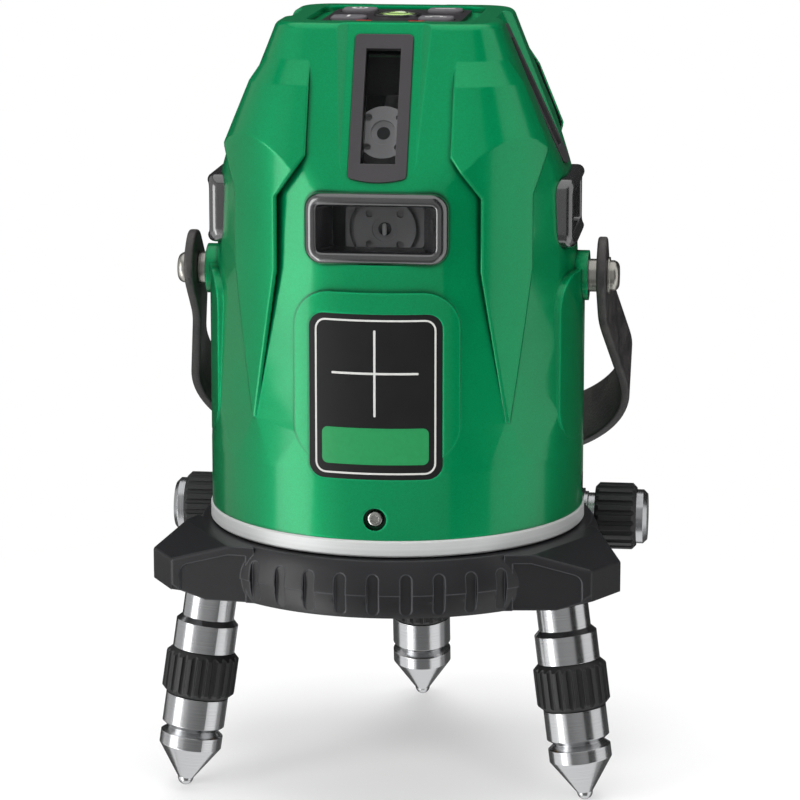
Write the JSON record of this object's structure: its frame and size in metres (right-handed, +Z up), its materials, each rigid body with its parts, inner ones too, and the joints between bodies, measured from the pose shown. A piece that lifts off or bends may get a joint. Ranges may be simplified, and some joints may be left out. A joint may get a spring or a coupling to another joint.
{
  "type": "line laser level",
  "caption": "Self-levelling line laser with a petalled green cover, windows on every side, a turning base with fine-turn knobs, screw legs, a carrying strap and a tripod thread.",
  "frame": {"origin": "mouth of the tripod thread in the underside, on the turning axis", "axes": "+Z up along the turning axis, the front with the label looks along -Y, +X to the right"},
  "size_m": [0.1392, 0.13, 0.2143],
  "materials": {
    "cover_green": "moulded, metallic lacquer",
    "ring_grey": "turned, bead blasted",
    "frame_grey": "moulded, fine grain",
    "bezel_black": "moulded, polished",
    "window_glass": "flat polished",
    "label_black": "printed film",
    "panel_black": "membrane film",
    "key_grey": "moulded silicone",
    "lamp_red": "clear tinted",
    "vial_green": "filled, polished",
    "steel": "turned",
    "brass": "turned",
    "strap_black": "woven band with a coated face",
    "base_black": "moulded, fine grain",
    "grip_black": "moulded, ribbed",
    "aluminium": "machined",
    "module_grey": "anodised",
    "board_green": "solder mask",
    "tray_black": "moulded",
    "cell_jacket": "jacketed"
  },
  "bodies": {
    "base": {"base_body": "base_black", "tripod_bush": "brass", "shaft_bushes": "steel", "leg_stem_right": "steel", "leg_stem_back": "steel", "leg_stem_left": "steel"},
    "turntable": {"worm_wheel": "brass", "clutch_washer": "steel", "clutch_nut": "steel"},
    "fine_drive": {"worm_shaft": "steel", "knob_right": "grip_black", "knob_left": "grip_black", "knob_caps": "steel"},
    "instrument": {"cover": "cover_green", "chassis_plate": "ring_grey", "cover_screws": "steel", "label_plate": "label_black", "slope_frame_front": "frame_grey", "slope_frame_right": "frame_grey", "slope_frame_back": "frame_grey", "slope_frame_left": "frame_grey", "bezel_front": "bezel_black", "bezel_right": "bezel_black", "bezel_back": "bezel_black", "bezel_left": "bezel_black", "slope_glasses": "window_glass", "bezel_glasses": "window_glass", "top_panel": "panel_black", "indicator_lamps": "lamp_red", "vial_cup": "bezel_black", "bubble_vial": "vial_green", "key_board": "board_green", "strap_bushes": "steel", "strap_screws": "steel", "battery_tray": "tray_black", "battery_cells": "cell_jacket", "gimbal_frame": "aluminium", "main_board": "board_green"},
    "strap": {"strap": "strap_black"},
    "battery_door": {"battery_door": "cover_green"},
    "battery_latch": {"battery_latch": "grip_black"},
    "gimbal_ring": {"gimbal_ring": "aluminium", "gimbal_pins": "steel"},
    "pendulum": {"laser_carrier": "aluminium", "carrier_pins": "steel", "counterweight": "brass", "plumb_module": "module_grey", "level_projectors": "module_grey", "upright_projectors": "module_grey", "projector_lenses": "window_glass"},
    "power_key": {"power_key": "key_grey"},
    "level_key": {"level_key": "key_grey"},
    "upright_key": {"upright_key": "key_grey"},
    "pulse_key": {"pulse_key": "key_grey"},
    "leg_grip_right": {"leg_grip_right": "grip_black"},
    "leg_foot_right": {"leg_foot_right": "steel"},
    "leg_grip_back": {"leg_grip_back": "grip_black"},
    "leg_foot_back": {"leg_foot_back": "steel"},
    "leg_grip_left": {"leg_grip_left": "grip_black"},
    "leg_foot_left": {"leg_foot_left": "steel"}
  },
  "joints": [
    {"name": "turntable_turn", "type": "hinge", "parent": "base", "child": "turntable", "pos_m": [0, 0, 0], "axis": [0, 0, 1], "continuous": true},
    {"name": "fine_knob_turn", "type": "hinge", "parent": "base", "child": "fine_drive", "pos_m": [0, 0.0327, 0.0113], "axis": [1, 0, 0], "continuous": true},
    {"name": "instrument_turn", "type": "hinge", "parent": "turntable", "child": "instrument", "pos_m": [0, 0, 0.0207], "axis": [0, 0, 1], "continuous": true},
    {"name": "strap_swing", "type": "hinge", "parent": "instrument", "child": "strap", "pos_m": [0, 0, 0.0878], "axis": [1, 0, 0], "range_deg": [0, 266]},
    {"name": "battery_door_pull", "type": "slide", "parent": "instrument", "child": "battery_door", "axis": [0, 1, 0], "range_m": [0, 0.022]},
    {"name": "battery_latch_turn", "type": "hinge", "parent": "battery_door", "child": "battery_latch", "pos_m": [0, 0.0505, 0.0862], "axis": [0, 1, 0], "range_deg": [0, 90]},
    {"name": "gimbal_roll", "type": "hinge", "parent": "instrument", "child": "gimbal_ring", "pos_m": [0, 0, 0.09], "axis": [1, 0, 0], "range_deg": [-3, 3]},
    {"name": "gimbal_pitch", "type": "hinge", "parent": "gimbal_ring", "child": "pendulum", "pos_m": [0, 0, 0.09], "axis": [0, 1, 0], "range_deg": [-3, 3]},
    {"name": "power_key_press", "type": "slide", "parent": "instrument", "child": "power_key", "axis": [0, 0, -1], "range_m": [0, 0.0006], "stiffness_N_per_m": 1500},
    {"name": "level_key_press", "type": "slide", "parent": "instrument", "child": "level_key", "axis": [0, 0, -1], "range_m": [0, 0.0006], "stiffness_N_per_m": 1500},
    {"name": "upright_key_press", "type": "slide", "parent": "instrument", "child": "upright_key", "axis": [0, 0, -1], "range_m": [0, 0.0006], "stiffness_N_per_m": 1500},
    {"name": "pulse_key_press", "type": "slide", "parent": "instrument", "child": "pulse_key", "axis": [0, 0, -1], "range_m": [0, 0.0006], "stiffness_N_per_m": 1500},
    {"name": "leg_grip_right_turn", "type": "hinge", "parent": "base", "child": "leg_grip_right", "pos_m": [0.04906, -0.02832, 0], "axis": [0.1355, -0.0782, -0.9877], "range_deg": [0, 2881]},
    {"name": "leg_foot_right_slide", "type": "slide", "parent": "base", "child": "leg_foot_right", "axis": [0.1355, -0.0782, -0.9877], "range_m": [0, 0.012]},
    {"name": "leg_grip_back_turn", "type": "hinge", "parent": "base", "child": "leg_grip_back", "pos_m": [0, 0.05665, 0], "axis": [0, 0.1564, -0.9877], "range_deg": [0, 2881]},
    {"name": "leg_foot_back_slide", "type": "slide", "parent": "base", "child": "leg_foot_back", "axis": [0, 0.1564, -0.9877], "range_m": [0, 0.012]},
    {"name": "leg_grip_left_turn", "type": "hinge", "parent": "base", "child": "leg_grip_left", "pos_m": [-0.04906, -0.02832, 0], "axis": [-0.1355, -0.0782, -0.9877], "range_deg": [0, 2881]},
    {"name": "leg_foot_left_slide", "type": "slide", "parent": "base", "child": "leg_foot_left", "axis": [-0.1355, -0.0782, -0.9877], "range_m": [0, 0.012]}
  ],
  "couplings": [
    {"joint": "fine_knob_turn", "follows": "turntable_turn", "ratio": 60},
    {"joint": "leg_grip_right_turn", "follows": "leg_foot_right_slide", "rad_per_m": 4188.8},
    {"joint": "leg_grip_back_turn", "follows": "leg_foot_back_slide", "rad_per_m": 4188.8},
    {"joint": "leg_grip_left_turn", "follows": "leg_foot_left_slide", "rad_per_m": 4188.8}
  ]
}
